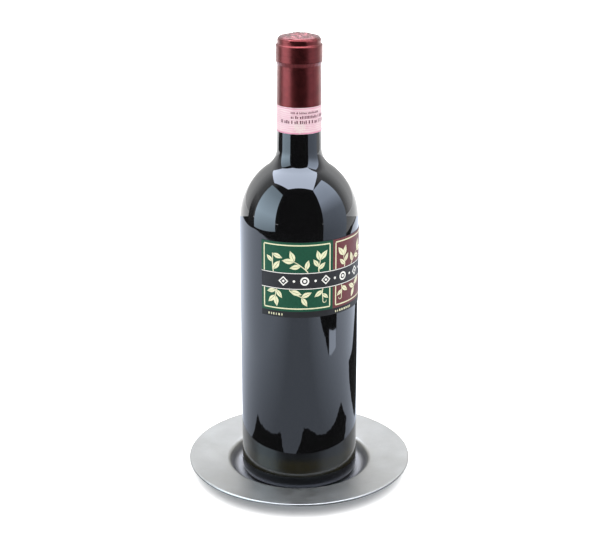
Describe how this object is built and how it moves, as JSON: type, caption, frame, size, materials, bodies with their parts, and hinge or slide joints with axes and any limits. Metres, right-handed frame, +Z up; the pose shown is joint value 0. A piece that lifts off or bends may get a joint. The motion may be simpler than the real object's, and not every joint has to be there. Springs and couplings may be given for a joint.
{
  "type": "bottle coaster",
  "caption": "Round wide-rimmed pewter coaster that holds one wine bottle upright in a central well, with its corked, labelled bottle standing in it.",
  "frame": {"origin": "on the table, at the centre of the coaster's foot ring", "axes": "+Z up along the shared axis of the coaster and the bottle; -Y is the side seen from the front, with the label's middle turned 33 degrees from it towards +X"},
  "size_m": [0.1472, 0.1472, 0.2934],
  "materials": {
    "pewter": "satin cast and spun pewter, softly mottled",
    "bottle_glass": "glossy very dark olive green glass",
    "wine": "deep red wine, stood in for by a solid of about its density",
    "cork": "natural cork",
    "capsule_foil": "dark red metallic foil, satin",
    "band_paper": "pale pink printed paper",
    "label_paper": "printed paper in green, oxblood, cream and black"
  },
  "bodies": {
    "coaster": {"coaster_plate": "pewter"},
    "bottle": {"bottle_glass": "bottle_glass", "wine": "wine", "capsule_sleeve": "capsule_foil", "neck_band": "band_paper", "front_label": "label_paper"},
    "cork": {"cork": "cork"},
    "capsule": {"capsule_cap": "capsule_foil", "capsule_disc": "capsule_foil"}
  },
  "joints": [
    {"name": "bottle_lift", "type": "slide", "parent": "coaster", "child": "bottle", "axis": [0, 0, 1], "range_m": [0, 0.06]},
    {"name": "cork_pull", "type": "slide", "parent": "bottle", "child": "cork", "axis": [0, 0, 1], "range_m": [0, 0.05]},
    {"name": "capsule_lift", "type": "slide", "parent": "cork", "child": "capsule", "axis": [0, 0, 1], "range_m": [0, 0.04]}
  ]
}
